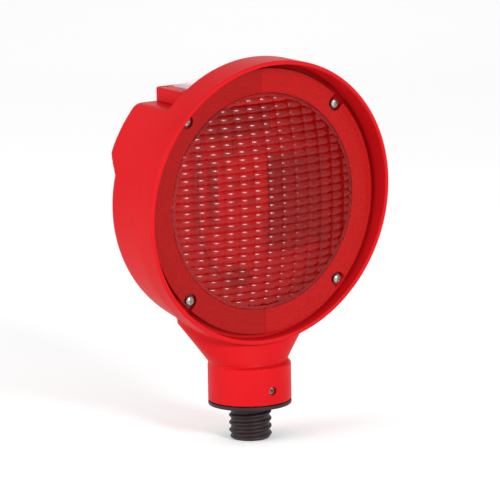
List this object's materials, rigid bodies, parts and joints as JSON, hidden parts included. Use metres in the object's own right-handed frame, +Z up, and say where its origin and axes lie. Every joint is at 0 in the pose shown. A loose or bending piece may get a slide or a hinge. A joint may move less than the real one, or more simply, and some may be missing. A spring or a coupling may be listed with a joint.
{
  "type": "solar hazard warning lamp",
  "caption": "Round red solar hazard lamp for barricades and cones: hooded prismatic lens in a reflex ring, solar module on its shoulder, and a neck that turns on a threaded foot.",
  "frame": {"origin": "on the axis of the thread, in the plane where the adaptor's flange seats", "axes": "+Z up along the thread axis, the lens faces -Y, +X to the right seen from the back"},
  "size_m": [0.1928, 0.066, 0.2602],
  "materials": {
    "red_housing": "glossy injection-moulded, faint mould grain",
    "red_lens": "clear red moulded acrylic, prismatic",
    "red_reflex": "moulded retroreflector, fine prism cells",
    "black_plastic": "black nylon, satin",
    "rubber": "matt black elastomer",
    "steel": "zinc-plated",
    "nickel": "nickel-plated",
    "clear_cover": "clear polycarbonate",
    "solar_cell": "dark blue laminated silicon",
    "white_board": "white solder mask",
    "green_board": "green solder mask",
    "led_epoxy": "tinted clear epoxy",
    "cell_wrap": "dark shrink sleeve, plain",
    "copper_coil": "enamelled copper winding",
    "red_lead": "PVC insulation",
    "black_lead": "PVC insulation"
  },
  "bodies": {
    "base": {"threaded_adaptor": "black_plastic", "adaptor_o_ring": "rubber"},
    "head": {"housing": "red_housing", "lens": "red_lens", "lens_gasket": "rubber", "reflex_ring_right": "red_reflex", "reflex_ring_left": "red_reflex", "solar_frame": "red_housing", "solar_gasket": "rubber", "solar_panel": "solar_cell", "solar_cover": "clear_cover", "led_board": "white_board", "battery_holder": "black_plastic", "battery_cell_1": "cell_wrap", "battery_cell_2": "cell_wrap", "battery_contact_positive": "nickel", "battery_contact_negative": "nickel", "battery_link": "nickel", "control_board": "green_board", "control_chip": "black_plastic", "control_coil": "copper_coil", "control_capacitor": "black_plastic", "switch_body": "black_plastic", "switch_seal": "rubber", "switch_nut": "nickel", "solar_lead_positive": "red_lead", "solar_lead_negative": "black_lead", "led_lead_positive": "red_lead", "led_lead_negative": "black_lead", "battery_lead_positive": "red_lead", "battery_lead_negative": "black_lead", "switch_lead_1": "red_lead", "switch_lead_2": "black_lead", "lens_screw_1": "steel", "solar_screw_1": "steel", "led_1": "led_epoxy", "lens_screw_2": "steel", "solar_screw_2": "steel", "led_2": "led_epoxy", "lens_screw_3": "steel", "solar_screw_3": "steel", "led_3": "led_epoxy", "lens_screw_4": "steel", "solar_screw_4": "steel", "led_4": "led_epoxy", "led_board_screw_1": "steel", "battery_holder_screw_1": "steel", "control_board_screw_1": "steel", "led_board_screw_2": "steel", "battery_holder_screw_2": "steel", "control_board_screw_2": "steel"},
    "button": {"switch_button": "red_housing"},
    "clamp": {"clamp_screw": "steel"}
  },
  "joints": [
    {"name": "head_swivel", "type": "hinge", "parent": "base", "child": "head", "pos_m": [0, 0, 0], "axis": [0, 0, 1], "continuous": true},
    {"name": "switch_press", "type": "slide", "parent": "head", "child": "button", "axis": [0, -1, 0], "range_m": [0, 0.002], "stiffness_N_per_m": 400},
    {"name": "clamp_back_out", "type": "slide", "parent": "head", "child": "clamp", "axis": [0, -1, 0], "range_m": [0, 0.002]}
  ]
}
